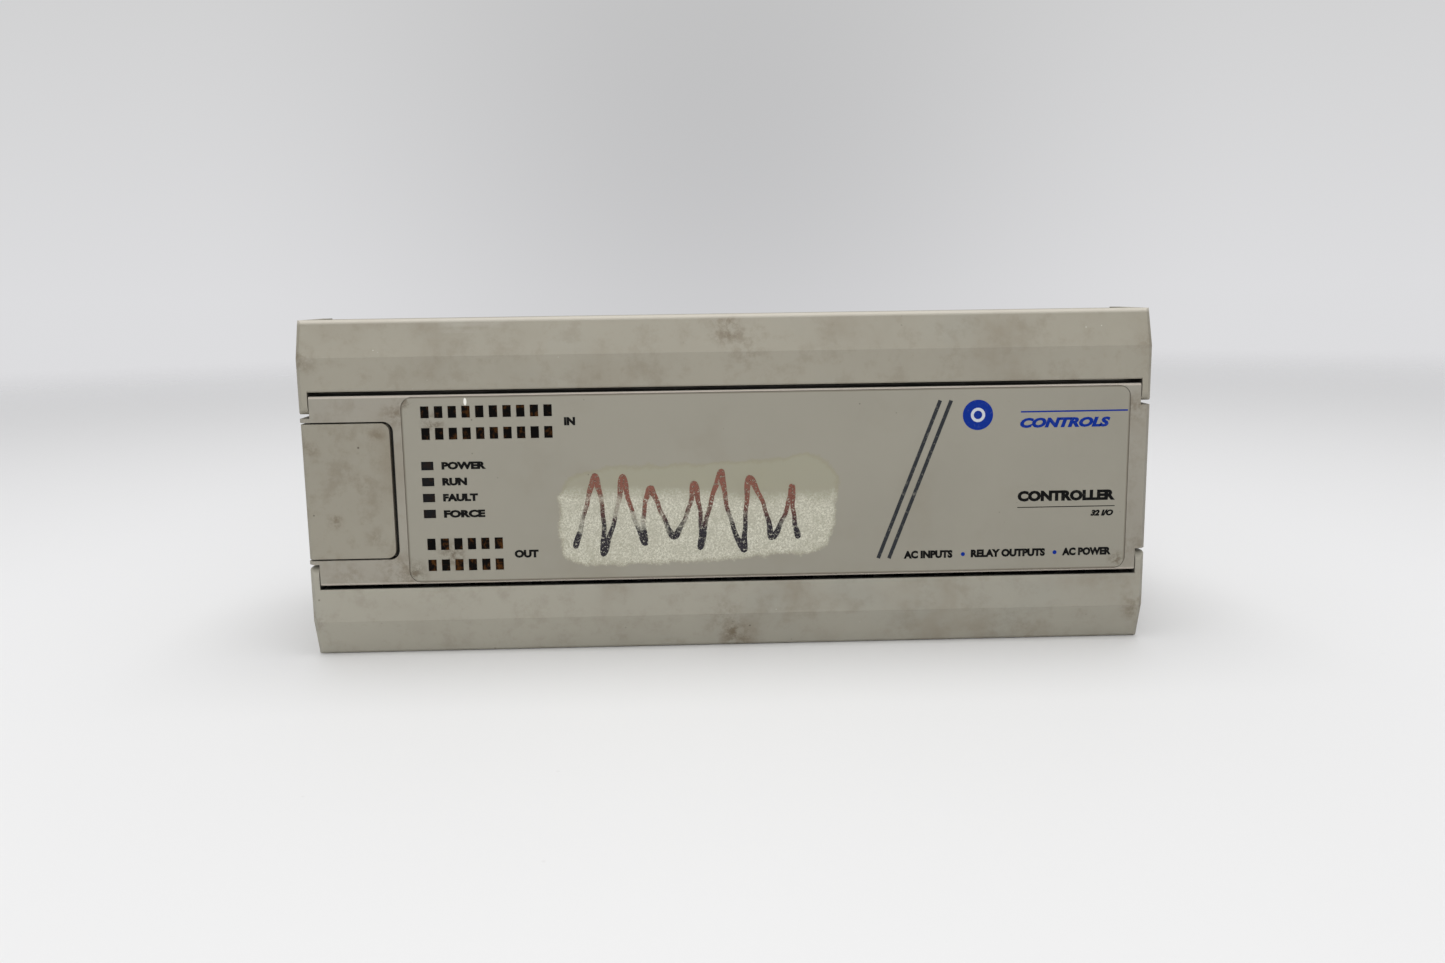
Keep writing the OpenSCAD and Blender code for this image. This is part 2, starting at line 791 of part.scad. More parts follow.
module input_optocouplers() {
    color([0.12, 0.12, 0.12]) for (i = [0:19])
        block([(i - 9.5) * 7 - 2.3, io_y - 3.5, mid + 11], [(i - 9.5) * 7 + 2.3, io_y, mid + 13.8]);
}

module input_resistors() {
    y = io_y + board_t;
    color([0.55, 0.70, 0.75]) for (i = [0:19]) {
        x = (i - 9.5) * 7.2;
        rod_z(1.9, 53, 63, x, y + 2);
        block([x - 0.3, y + 1.7, 51], [x + 0.3, y + 2.3, 65]);
        for (z = [51, 64.4]) block([x - 0.3, y, z], [x + 0.3, y + 2.3, z + 0.6]);
    }
}

varistor_z = 9;

module output_varistors() {
    y = io_y + board_t;
    color([0.15, 0.30, 0.60]) for (i = [0:11]) {
        x = (i - 5.5) * 13;
        rod_x(3.5, x - 1.6, x + 1.6, y + 4, varistor_z);
        for (z = [varistor_z - 2, varistor_z + 1.4])
            block([x - 0.3, y, z], [x + 0.3, y + 2, z + 0.6]);
    }
}

// ---- power board, at the back ----

module power_board() {
    color([0.55, 0.42, 0.18]) difference() {
        block([-90, power_y, 8], [90, power_y + board_t, 72]);
        for (at = standoff_at)
            rod_y(1.6, power_y - over, power_y + board_t + over, at[0], at[1]);
        for (at = mount_at) rod_y(5, power_y - over, power_y + board_t + over, at[0], at[1]);
    }
}

core_at = [-42, 38];

module transformer_core() {
    x = core_at[0];
    z = core_at[1];
    color([0.13, 0.13, 0.14]) difference() {
        block([x - 15, power_y - 17, z - 5], [x + 15, power_y - 5, z + 5]);
        block([x - 11, power_y - 14, z - 6], [x - 4.5, power_y - 8, z + 6]);
        block([x + 4.5, power_y - 14, z - 6], [x + 11, power_y - 8, z + 6]);
    }
}

module transformer_winding() {
    x = core_at[0];
    z = core_at[1];
    y0 = power_y - 13.9;
    y1 = power_y - 8.1;
    color([0.85, 0.75, 0.2]) difference() {
        union() {
            block([x - 10.8, y0, z - 9], [x + 10.8, y1, z + 9]);
            for (dx = [-8, 8], dz = [-8, 8])
                rod_y(0.5, y1 - slit, power_y, x + dx, z + dz);
        }
        block([x - 4.6, y0 - over, z - 5.1], [x + 4.6, y1 + over, z + 5.1]);
        for (s = [-1, 1])
            block([x + s * 13 - 2.1, y0 - over, z - 5.1], [x + s * 13 + 2.1, y1 + over, z + 5.1]);
    }
}

choke_at = [-72, 40];

module choke_core() {
    color([0.15, 0.15, 0.16]) difference() {
        rod_y(8, power_y - 9, power_y - 3, choke_at[0], choke_at[1]);
        rod_y(4, power_y - 10, power_y - 2, choke_at[0], choke_at[1]);
    }
}

// Two windings that sit on the faces of the ring.
module choke_winding() {
    color([0.72, 0.38, 0.18]) for (side = [0, 1])
        translate([choke_at[0], 0, choke_at[1]]) mirror([side, 0, 0]) {
            for (a = [-50:20:50]) rotate([0, a, 0]) {
                rod_x(0.6, 3.2, 8.7, power_y - 9.6, 0);
                rod_x(0.6, 3.2, 8.7, power_y - 2.4, 0);
            }
        }
}

module bulk_capacitors() {
    color([0.10, 0.12, 0.22]) for (x = [-12, 8])
        rod_y(8, power_y - 20, power_y, x, 24);
}

module filter_capacitors() {
    color([0.10, 0.12, 0.22]) for (x = [28, 40, 52])
        rod_y(5, power_y - 14, power_y, x, 58);
}

module line_capacitor() {
    color([0.80, 0.68, 0.20])
        block([-75, power_y - 12, 52], [-57, power_y, 62]);
}

module bridge_rectifier() {
    color([0.08, 0.08, 0.09])
        block([-20, power_y - 14, 50], [-2, power_y, 54]);
}

module heat_sink() {
    y0 = power_y - 18;
    color([0.75, 0.76, 0.78]) difference() {
        union() {
            block([26, y0, 30], [50, power_y, 32]);
            for (i = [0:5]) block([26 + i * 4.5, y0, 31.9], [27.5 + i * 4.5, power_y, 38]);
        }
        translate([36.5, power_y - 14.5, 29]) cylinder(r = 1.3, h = 4);
    }
}

module power_transistor() {
    color([0.08, 0.08, 0.09]) difference() {
        union() {
            block([31.5, power_y - 18, 28.6], [41.5, power_y - 3, 30]);
            for (x = [34, 36.5, 39])
                block([x - 0.4, power_y - 3.1, 28.9], [x + 0.4, power_y, 29.4]);
            block([31.5, power_y - 11, 26], [41.5, power_y - 3, 28.7]);
        }
        translate([36.5, power_y - 14.5, 27]) cylinder(r = 1.7, h = 4);
    }
}

module transistor_screw() {
    color([0.75, 0.75, 0.77]) translate([36.5, power_y - 14.5, 0]) {
        translate([0, 0, 26.6]) cylinder(r = 2.5, h = 2);
        translate([0, 0, 28.5]) cylinder(r = 1.2, h = 4);
    }
}

fuse_at = [64, 20];

module fuse_clips() {
    color([0.8, 0.8, 0.78]) for (x = [fuse_at[0] - 8.5, fuse_at[0] + 8.5]) difference() {
        block([x - 2, power_y - 9, fuse_at[1] - 3.2], [x + 2, power_y, fuse_at[1] + 3.2]);
        rod_x(2.65, x - 3, x + 3, power_y - 5.5, fuse_at[1]);
        block([x - 3, power_y - 10, fuse_at[1] - 2], [x + 3, power_y - 5.5, fuse_at[1] + 2]);
    }
}

module fuse() {
    color([0.85, 0.88, 0.88])
        rod_x(2.6, fuse_at[0] - 10, fuse_at[0] + 10, power_y - 5.5, fuse_at[1]);
}

// ---- hardware between the boards ----

module board_standoffs() {
    color([0.80, 0.72, 0.45]) for (at = standoff_at) difference() {
        union() {
            rod_y(2.6, io_y + board_t, power_y, at[0], at[1]);
            rod_y(1.3, power_y - slit, power_y + board_t + 3.5, at[0], at[1]);
        }
        rod_y(1.3, io_y + board_t - over, io_y + board_t + 6, at[0], at[1]);
    }
}

module board_screws() {
    color([0.75, 0.75, 0.77]) for (at = standoff_at) difference() {
        union() {
            rod_y(2.5, io_y - 1.8, io_y, at[0], at[1]);
            rod_y(1.25, io_y - slit, io_y + board_t + 5, at[0], at[1]);
        }
        block([at[0] - 1.7, io_y - 2.8, at[1] - 0.3], [at[0] + 1.7, io_y - 1, at[1] + 0.3]);
    }
}

ribbon_at = [72, 42];

// Flat lead between the two boards, with one loose bow.
module supply_ribbon() {
    y0 = io_y + board_t + 6;
    y1 = power_y - 6;
    m = (y0 + y1) / 2;
    h = (y1 - y0) / 2;
    bow = [for (a = [0:10:180]) [m - h * cos(a), 3 * sin(a)]];
    color([0.6, 0.6, 0.62]) translate([0, 0, ribbon_at[1]])
        along_x(ribbon_at[0] - 7, ribbon_at[0] + 7)
            polygon(concat(
                [for (p = bow) p + [0, 0.45]],
                [for (i = [len(bow) - 1:-1:0]) bow[i] - [0, 0.45]]
            ));
}

module ribbon_sockets() {
    x0 = ribbon_at[0] - 8.5;
    x1 = ribbon_at[0] + 8.5;
    z = ribbon_at[1];
    color([0.12, 0.12, 0.12]) {
        block([x0, io_y + board_t, z - 2.5], [x1, io_y + board_t + 6 - slit, z + 2.5]);
        block([x0, power_y - 6 + slit, z - 2.5], [x1, power_y, z + 2.5]);
    }
}

module insulator_sheet() {
    color([0.80, 0.78, 0.66])
        block([-76, power_y + board_t + 2.2, 12], [76, power_y + board_t + 2.6, 46]);
}

// ---- one line for each node ----

rear_housing();
front_housing();
front_label();
rating_label();
top_terminal_cover();
bottom_terminal_cover();
input_wiring_label();
output_wiring_label();
comm_door();
din_latch();
latch_spring();
input_light_guide();
output_light_guide();
status_light_guide();
input_leds();
output_leds();
status_leds();
input_terminal_base();
input_terminal_barriers();
input_terminal_screws();
input_clamp_plates();
input_terminal_tags();
output_terminal_base();
output_terminal_barriers();
output_terminal_screws();
output_clamp_plates();
output_terminal_tags();
logic_board();
processor_chip();
memory_chips();
crystal();
board_header();
comm_socket_body();
comm_socket_shield();
comm_socket_contacts();
io_board();
output_relays();
input_optocouplers();
input_resistors();
output_varistors();
power_board();
transformer_core();
transformer_winding();
choke_core();
choke_winding();
bulk_capacitors();
filter_capacitors();
line_capacitor();
bridge_rectifier();
heat_sink();
power_transistor();
transistor_screw();
fuse_clips();
fuse();
board_standoffs();
board_screws();
supply_ribbon();
ribbon_sockets();
insulator_sheet();
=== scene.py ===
# %% [markdown]
# # A compact programmable controller
#
# The object is a grey moulded case, 200 mm long, that industry uses to switch machines. A printed
# label fills its front, two hinged covers hide its screw terminals, and a small door hides its port.
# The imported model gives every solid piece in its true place. This lesson gives those pieces their
# soft edges, their print and their finishes, then lights them on a pale floor.

import math

import bmesh
import bpy
import numpy as np
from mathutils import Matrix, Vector


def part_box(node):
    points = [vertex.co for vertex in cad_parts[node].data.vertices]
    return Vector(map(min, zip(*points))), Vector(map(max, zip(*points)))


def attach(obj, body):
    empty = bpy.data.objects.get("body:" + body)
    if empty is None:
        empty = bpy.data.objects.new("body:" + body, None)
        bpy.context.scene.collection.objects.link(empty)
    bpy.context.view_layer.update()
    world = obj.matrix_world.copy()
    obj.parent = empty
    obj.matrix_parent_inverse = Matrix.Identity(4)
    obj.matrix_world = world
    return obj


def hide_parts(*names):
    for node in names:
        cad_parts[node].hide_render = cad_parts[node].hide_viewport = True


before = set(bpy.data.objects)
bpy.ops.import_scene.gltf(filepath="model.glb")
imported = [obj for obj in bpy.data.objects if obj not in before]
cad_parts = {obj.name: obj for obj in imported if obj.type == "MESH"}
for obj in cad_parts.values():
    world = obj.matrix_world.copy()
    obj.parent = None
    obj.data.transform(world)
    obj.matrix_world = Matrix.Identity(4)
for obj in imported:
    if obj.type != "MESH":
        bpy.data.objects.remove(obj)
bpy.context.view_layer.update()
MM = 0.001
print("loaded", len(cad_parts), "nodes")

# %% [markdown]
# ## Shader maths in Python
#
# A material is a network of small nodes. Wiring it by hand takes one line per link, so one small
# class wraps a socket and turns each Python operator into a Math node. The formulas below then read
# like formulas. Colours need their own nodes, because a Math node keeps only their brightness.

# %% A socket that can be added, scaled and compared


class Field:
    """A value that changes over a surface: one output socket of a material's network."""

    def __init__(self, net, socket):
        self.net = net
        self.socket = socket

    def _math(self, operation, *others):
        return self.net.node("ShaderNodeMath", {"operation": operation}, self, *others)

    def __add__(self, other):
        return self._math("ADD", other)

    def __radd__(self, other):
        return self._math("ADD", other)

    def __sub__(self, other):
        return self._math("SUBTRACT", other)

    def __rsub__(self, other):
        return self.net.node("ShaderNodeMath", {"operation": "SUBTRACT"}, other, self)

    def __mul__(self, other):
        return self._math("MULTIPLY", other)

    def __rmul__(self, other):
        return self._math("MULTIPLY", other)

    def __pow__(self, other):
        return self._math("POWER", other)

    def __abs__(self):
        return self._math("ABSOLUTE")

    def high(self, other):
        """The larger of the two values."""
        return self._math("MAXIMUM", other)

    def ramp(self, start, end):
        """0 up to start, 1 from end on, and an S-shaped rise between them. start may be the larger."""
        return self.net.node(
            "ShaderNodeMapRange",
            {"interpolation_type": "SMOOTHSTEP"},
            self,
            From_Min=start,
            From_Max=end,
        )


class Network:
    """A material's node network, with one method that adds any node."""

    def __init__(self, name):
        self.material = bpy.data.materials.new(name)
        self.material.use_nodes = True
        self.tree = self.material.node_tree
        self.shader = self.tree.nodes["Principled BSDF"]
        self.place = self.node("ShaderNodeTexCoord", {}, out="Object")
        self.x, self.y, self.z = self.split(self.place)

    def node(self, kind, settings, *values, out=0, **named):
        """Adds a node of this kind, makes its settings, fills its sockets, and gives one output."""
        made = self.tree.nodes.new(kind)
        for key, value in settings.items():
            setattr(made, key, value)
        sockets = [(made.inputs[i], v) for i, v in enumerate(values)]
        sockets += [(made.inputs[k.replace("_", " ")], v) for k, v in named.items()]
        for socket, value in sockets:
            self.fill(socket, value)
        return Field(self, made.outputs[out])

    def fill(self, socket, value):
        """Links a field to a socket, or sets the socket's own value."""
        if isinstance(value, Field):
            self.tree.links.new(value.socket, socket)
        elif isinstance(value, tuple) and len(value) == 3 and socket.type == "RGBA":
            socket.default_value = (*value, 1.0)
        else:
            socket.default_value = value

    def split(self, vector):
        """The three parts of a vector, in metres."""
        made = self.tree.nodes.new("ShaderNodeSeparateXYZ")
        self.tree.links.new(vector.socket, made.inputs[0])
        return [Field(self, made.outputs[i]) for i in range(3)]

    def scaled(self, x, y, z):
        """The place on the object, stretched by these factors."""
        return self.node("ShaderNodeVectorMath", {"operation": "MULTIPLY"}, self.place, (x, y, z))

    def noise(self, per_metre, detail=3.0, rough=0.55, stretch=(1, 1, 1)):
        """Cloudy noise from 0 to 1, with this many features to a metre."""
        at = self.scaled(*[per_metre * s for s in stretch])
        return self.node("ShaderNodeTexNoise", {}, Vector=at, Scale=1.0, Detail=detail, Roughness=rough)

    def cells(self, per_metre, stretch=(1, 1, 1)):
        """Distance to the nearest of many scattered points."""
        at = self.scaled(*[per_metre * s for s in stretch])
        return self.node("ShaderNodeTexVoronoi", {}, Vector=at, Scale=1.0, out="Distance")

    def mix(self, amount, first, second):
        """The first colour where amount is 0, the second where it is 1."""
        made = self.tree.nodes.new("ShaderNodeMix")
        made.data_type = "RGBA"
        self.fill(made.inputs[0], amount)
        self.fill(made.inputs[6], first)
        self.fill(made.inputs[7], second)
        return Field(self, made.outputs[2])

    def spot(self, x, y, z, reach):
        """1 at a place given in millimetres, falling to 0 at this reach from it."""
        away = self.node(
            "ShaderNodeVectorMath",
            {"operation": "DISTANCE"},
            self.place,
            (x * MM, y * MM, z * MM),
            out="Value",
        )
        return away.ramp(reach * MM, 0.0)

    def bump(self, height, depth, strength=1.0):
        """A surface that rises by depth, in metres, where height is 1."""
        return self.node(
            "ShaderNodeBump", {}, Height=height, Distance=depth, Strength=strength, out="Normal"
        )

    def finish(self, colour, roughness, normal=None, metallic=0.0, **constants):
        """Connects the results to the shader and gives the material."""
        self.fill(self.shader.inputs["Base Color"], colour)
        self.fill(self.shader.inputs["Roughness"], roughness)
        self.fill(self.shader.inputs["Metallic"], metallic)
        if normal is not None:
            self.fill(self.shader.inputs["Normal"], normal)
        for key, value in constants.items():
            self.fill(self.shader.inputs[key.replace("_", " ")], value)
        return self.material


def srgb(red, green, blue):
    """A colour as a screen shows it, 0 to 255, turned into the light that the shader needs."""
    part = [v / 255 for v in (red, green, blue)]
    return tuple(v / 12.92 if v <= 0.04045 else ((v + 0.055) / 1.055) ** 2.4 for v in part)


print("shader helpers ready")

# %% [markdown]
# ## Aged grey plastic
#
# The case is moulded in a warm grey plastic. Its mould was spark eroded, which leaves a fine grain.
# Years in a cabinet have left clouds of brown dust, finger marks, small dark specks, and scratches.
# One image could hold all that, but a formula follows the shape with no seams and at any size.

# %% The plastic of the case, covers and door

MIDDLE_Z = 0.040
FRONT_Y = -0.0365
PANEL_HALF = 0.0225
DOOR_EDGE_X = -0.0776
DOOR_HALF = 0.0160


def old_plastic(name, tint, stains=(), dirt=1.0, door_gap=False):
    """Grained grey plastic. Each stain is a place and reach in millimetres, with a strength.

    Painted shade darkens the slots beside the raised panel. The front housing, which has the door
    gap, also has painted shade in the gap that frames the door, and a painted highlight along the
    long edges of its raised panel. The upper front edge of the case has a painted highlight.
    """
    net = Network(name)
    cloud = net.noise(14, 5)
    patch = net.noise(55, 4, 0.6)
    fine = net.noise(900, 2)
    base = net.mix(cloud.ramp(0.35, 0.7), tint, tuple(v * 0.9 for v in tint))
    base = net.mix(fine * 0.10, base, tuple(v * 0.72 for v in tint))
    film = patch.ramp(0.46, 0.76) * cloud.ramp(0.36, 0.60) * (0.34 * dirt)
    base = net.mix(film, base, srgb(112, 94, 68))
    cool = net.noise(38, 3).ramp(0.52, 0.72)
    base = net.mix(cool * 0.16, base, srgb(148, 152, 146))
    haze = net.noise(210, 4, 0.7).ramp(0.46, 0.74)
    base = net.mix(haze * (0.20 * dirt), base, srgb(104, 90, 68))
    marks = 1 - net.cells(260).ramp(0.02, 0.10)
    marks = marks * net.noise(90, 2).ramp(0.54, 0.64)
    chips = (1 - net.cells(330).ramp(0.02, 0.07)) * net.noise(70, 2).ramp(0.60, 0.66)
    base = net.mix(marks * (0.65 * dirt), base, srgb(64, 50, 36))
    base = net.mix(chips * 0.7, base, srgb(214, 210, 200))
    for x, y, z, reach, strength in stains:
        brown = net.spot(x, y, z, reach) * net.noise(420, 4, 0.75).ramp(0.34, 0.66)
        base = net.mix(brown * strength, base, srgb(92, 74, 48))
    from_middle = abs(net.z - MIDDLE_Z)
    depth = net.y - FRONT_Y
    # Painted shade in the slots between the raised panel and the covers, which overhang them.
    slot_shade = from_middle.ramp(PANEL_HALF - 0.15 * MM, PANEL_HALF)
    slot_shade = slot_shade * from_middle.ramp(PANEL_HALF + 1.6 * MM, PANEL_HALF + 1.3 * MM)
    slot_shade = slot_shade * depth.ramp(0.38 * MM, 0.5 * MM) * depth.ramp(15.5 * MM, 6.5 * MM)
    slot_shade = slot_shade * abs(net.x).ramp(0.0979, 0.0977)
    base = net.mix(slot_shade * (0.84 + 0.16 * patch.ramp(0.35, 0.6)), base, srgb(22, 20, 16))
    if door_gap:
        # Painted highlight: a pale line along the raised panel's long edges.
        edge = from_middle.ramp(PANEL_HALF - 0.6 * MM, PANEL_HALF - 0.4 * MM)
        edge = edge * from_middle.ramp(PANEL_HALF + 0.1 * MM, PANEL_HALF - 0.1 * MM)
        edge = edge * depth.ramp(0.5 * MM, 0.3 * MM)
        base = net.mix(edge * 0.6, base, srgb(206, 196, 184))
        # Painted shade in the gap along the door's right side, top and bottom.
        left = net.x.ramp(DOOR_EDGE_X, DOOR_EDGE_X - 0.6 * MM)
        beside = net.x.ramp(DOOR_EDGE_X - 2.4 * MM, DOOR_EDGE_X - 2.0 * MM)
        over_under = from_middle.ramp(DOOR_HALF - 0.2 * MM, DOOR_HALF)
        door_gap_shade = left * beside.high(over_under)
        door_gap_shade = door_gap_shade * from_middle.ramp(DOOR_HALF + 1.2 * MM, DOOR_HALF + 0.8 * MM)
        door_gap_shade = door_gap_shade * depth.ramp(0.5 * MM, 1.2 * MM) * depth.ramp(6.5 * MM, 4.5 * MM)
        door_gap_shade = door_gap_shade * net.x.ramp(-0.0986, -0.0980)
        base = net.mix(door_gap_shade * 0.95, base, srgb(16, 14, 11))
    # Painted highlight on the rounded upper front edge of the case, as if lit from above.
    top_highlight = from_middle.ramp(38.8 * MM, 39.7 * MM) * net.z.ramp(MIDDLE_Z, MIDDLE_Z + MM)
    top_highlight = top_highlight * depth.ramp(7.5 * MM, 5.0 * MM)
    base = net.mix(top_highlight * 0.55, base, srgb(216, 210, 198))
    streak = net.noise(60, 3, 0.5, (0.14, 1, 3.2)).ramp(0.63, 0.70)
    scratch = streak * net.noise(30, 2).ramp(0.5, 0.62)
    base = net.mix(scratch * 0.20, base, srgb(186, 183, 174))
    rough = 0.50 + patch * 0.16 - scratch * 0.1 + slot_shade * 0.4
    grain = net.noise(2600, 2, 0.6)
    normal = net.bump(grain * 0.6 + marks * 0.4 - scratch * 0.3, 0.00003, 0.55)
    return net.finish(base, rough, normal, Specular_IOR_Level=0.34)


GREY = srgb(154, 149, 137)
top_stains = [
    (0, -34, 76.5, 6, 0.60),
    (4, -35, 72, 7, 0.30),
    (-99, -36, 71, 5, 0.45),
    (99, -36, 71.5, 5, 0.35),
]
low_stains = [
    (1, -34, 3, 6, 0.75),
    (-2, -35, 8, 7, 0.25),
    (-99, -36, 9, 4, 0.45),
    (98, -36, 8, 5, 0.50),
    (70, -34, 4, 9, 0.20),
]
case_stains = [
    (-78, -36, 19.5, 8, 0.65),
    (-77.5, -36, 58, 5, 0.50),
    (-90, -36, 19, 6, 0.30),
    (96, -36, 57, 5, 0.45),
    (97, -36, 24, 6, 0.30),
]
door_stains = [
    (-93, -36, 33, 3, 0.60),
    (-84, -36, 29, 4, 0.35),
    (-98, -36, 50, 4, 0.40),
    (-88, -36, 43, 5, 0.20),
    (-82, -36, 53, 3, 0.35),
]
finish_case = old_plastic("case plastic", GREY, case_stains, 1.0, True)
finish_top = old_plastic("upper cover plastic", srgb(156, 151, 137), top_stains)
# Painted light: the lower cover is tinted lighter, for light thrown up by the floor.
finish_low = old_plastic("lower cover plastic", srgb(163, 159, 146), low_stains)
finish_door = old_plastic("door plastic", srgb(151, 146, 132), door_stains, 1.5)
print("plastic finishes ready")

# %% [markdown]
# ## Softer edges
#
# No moulded edge is sharp. The solids come as loose triangles with knife edges, so a copy of each
# visible shell is welded, its flat triangles are joined into whole faces, and a Bevel modifier
# rounds what is left. The copy then stands for the solid. Only edges that turn by more than the
# limit are rounded, so curved walls stay as they are.

# %% Weld a copy of a solid and round its edges


def softened(node, width, body, finish, turn=35, segments=2):
    """A welded copy of a CAD node with edges rounded to this width, in millimetres."""
    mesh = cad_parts[node].data.copy()
    work = bmesh.new()
    work.from_mesh(mesh)
    bmesh.ops.remove_doubles(work, verts=work.verts, dist=0.000002)
    bmesh.ops.dissolve_limit(
        work, angle_limit=math.radians(0.4), verts=work.verts, edges=work.edges
    )
    bmesh.ops.connect_verts_concave(work, faces=work.faces)
    work.to_mesh(mesh)
    work.free()
    mesh.shade_smooth()
    mesh.set_sharp_from_angle(angle=math.radians(12))
    mesh.materials.clear()
    mesh.materials.append(finish)
    made = bpy.data.objects.new(node + "_skin", mesh)
    bpy.context.scene.collection.objects.link(made)
    bevel = made.modifiers.new("rounded edges", "BEVEL")
    bevel.width = width * MM
    bevel.segments = segments
    bevel.limit_method = "ANGLE"
    bevel.angle_limit = math.radians(turn)
    bevel.use_clamp_overlap = True
    bevel.miter_outer = "MITER_ARC"
    flat = made.modifiers.new("even shading", "WEIGHTED_NORMAL")
    flat.keep_sharp = True
    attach(made, body)
    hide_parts(node)
    return made


def dress(node, finish):
    """Gives a CAD node its finish. The solid itself isn't changed."""
    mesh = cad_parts[node].data
    mesh.materials.clear()
    mesh.materials.append(finish)


softened("rear_housing", 0.5, "controller", finish_case)
softened("front_housing", 0.22, "controller", finish_case)
softened("top_terminal_cover", 0.45, "top_cover", finish_top, 25)
softened("bottom_terminal_cover", 0.45, "bottom_cover", finish_low, 25)
softened("comm_door", 0.4, "port_door", finish_door, 50)
print("shells softened")

# %% [markdown]
# ## The front label
#
# A printed film lies in a shallow recess. It is smoother than the case and a little cooler in
# colour. A sticker was once on it, and its glue is still there: a cloudy patch, white and crumbled
# below and to the left, thin and yellow above. The patch has a soft outline that noise has frayed.

# %% The printed film with the old glue on it

label_low, label_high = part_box("front_label")
PATCH_MIDDLE = (-8.0, 33.6)
PATCH_HALF = (33.0, 12.0)
PATCH_CORNER = 7.0


def label_finish():
    """Printed film with grime in its corners and the rest of an old sticker's glue.

    The glue's outline is a rounded rectangle: the length of what lies past an inner rectangle, less
    the corner's radius. Noise added to that length frays it.
    """
    net = Network("label film")
    tint = srgb(149, 145, 132)
    cloud = net.noise(18, 5)
    base = net.mix(cloud.ramp(0.4, 0.7), tint, tuple(v * 0.93 for v in tint))
    smear = net.noise(40, 4, 0.6).ramp(0.52, 0.75)
    base = net.mix(smear * 0.16, base, srgb(120, 108, 86))
    for x, z, reach in ((-76, 61, 3.5), (-75.5, 20, 5), (-69, 56, 4), (-66, 24.5, 5), (93, 20, 3)):
        grime = net.spot(x, -36.4, z, reach) * net.noise(650, 4, 0.75).ramp(0.40, 0.62)
        base = net.mix(grime * 0.7, base, srgb(84, 68, 44))
    fray = (net.noise(220, 4, 0.75) - 0.5) * 0.0040 + (net.noise(40, 2) - 0.5) * 0.0040
    lean = (net.x - PATCH_MIDDLE[0] * MM) * 0.045
    across = (abs(net.x - PATCH_MIDDLE[0] * MM) - PATCH_HALF[0] * MM + PATCH_CORNER * MM).high(0.0)
    upward = (abs(net.z - PATCH_MIDDLE[1] * MM - lean) - PATCH_HALF[1] * MM + PATCH_CORNER * MM).high(0.0)
    outline = (across * across + upward * upward) ** 0.5 - PATCH_CORNER * MM + fray
    inside = outline.ramp(0.0004, -0.0006)
    divide = (net.z - 0.0374 + net.x * 0.05 + fray * 1.2).ramp(0.0022, -0.0022)
    crumbs = net.noise(2300, 3, 0.9).ramp(0.40, 0.60)
    flakes = net.noise(480, 3, 0.7).ramp(0.30, 0.60)
    white = inside * divide * (0.22 + 0.78 * crumbs * (0.35 + 0.65 * flakes))
    gum = inside * (0.34 + 0.40 * net.noise(110, 4, 0.6))
    base = net.mix(gum * 0.72, base, srgb(158, 156, 128))
    base = net.mix(white * 0.92, base, srgb(218, 216, 200))
    rim = inside * (1 - outline.ramp(0.0004, -0.0014))
    base = net.mix(rim * 0.35, base, srgb(122, 112, 82))
    middle, half = (label_low + label_high) / 2, (label_high - label_low) / 2
    to_end = abs(net.x - middle.x) - half.x
    to_side = abs(net.z - middle.z) - half.z
    border = to_end.high(to_side).ramp(-0.00045, -0.0001)
    base = net.mix(border * (0.35 + 0.4 * net.noise(90, 3)), base, srgb(88, 76, 58))
    specks = (1 - net.cells(300).ramp(0.02, 0.08)) * net.noise(80, 2).ramp(0.50, 0.60)
    base = net.mix(specks * 0.6, base, srgb(58, 48, 38))
    aside, up = (net.x + 0.0614) * 2.4, net.z - 0.0608
    chip = (aside * aside + up * up) ** 0.5 + fray * 0.05
    chip = chip.ramp(0.0010, 0.0007)
    base = net.mix(chip, base, srgb(236, 234, 226))
    rough = 0.44 + smear * 0.12 + white * 0.28 - gum * 0.06
    height = gum * 0.35 + white * 0.9 + net.noise(2200, 2) * 0.10
    return net.finish(base, rough, net.bump(height, 0.00006, 0.8), Specular_IOR_Level=0.45)


dress("front_label", label_finish())
print("label is", [round(v * 1000, 2) for v in label_high - label_low], "mm")

# %% [markdown]
# ## Print on the label
#
# Ink stands a few hundredths of a millimetre proud. Each word is a text object in Blender's own
# font, thickened a little, scaled to its measured height and width, and then turned into a mesh.
# Lines and dots are filled outlines from a formula. All of it sits just in front of the film.

# %% Flat ink shapes

INK_Y = label_low.y - 0.02 * MM


def ink(name, colour, rough=0.45, fade=0.12):
    """Printing ink that is worn thin in small places."""
    net = Network(name)
    worn = net.noise(900, 3, 0.7).ramp(0.52, 0.72)
    base = net.mix(worn * fade, colour, srgb(150, 146, 134))
    return net.finish(
        base,
        rough + worn * 0.15,
        net.bump(net.noise(2500, 2), 0.00001, 0.5),
        Specular_IOR_Level=0.1,
    )


ink_black = ink("black ink", srgb(8, 8, 8), 0.5, 0.06)
ink_grey = ink("grey ink", srgb(48, 50, 53), 0.5, 0.40)
ink_blue = ink("blue ink", srgb(7, 44, 136), 0.5, 0.08)
ink_pale = ink("pale ink", srgb(196, 200, 206), 0.45, 0.3)


def flat_piece(name, outlines, finish, y=INK_Y):
    """Filled outlines, each an array of x and z in millimetres, counter-clockwise from the front."""
    points = np.vstack(outlines)
    xyz = np.column_stack([points[:, 0] * MM, np.full(len(points), y), points[:, 1] * MM])
    ends = np.cumsum([len(o) for o in outlines])
    faces = [list(range(end - len(o), end)) for o, end in zip(outlines, ends)]
    mesh = bpy.data.meshes.new(name)
    mesh.from_pydata(xyz.tolist(), [], faces)
    mesh.materials.append(finish)
    made = bpy.data.objects.new(name, mesh)
    bpy.context.scene.collection.objects.link(made)
    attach(made, "controller")
    return made


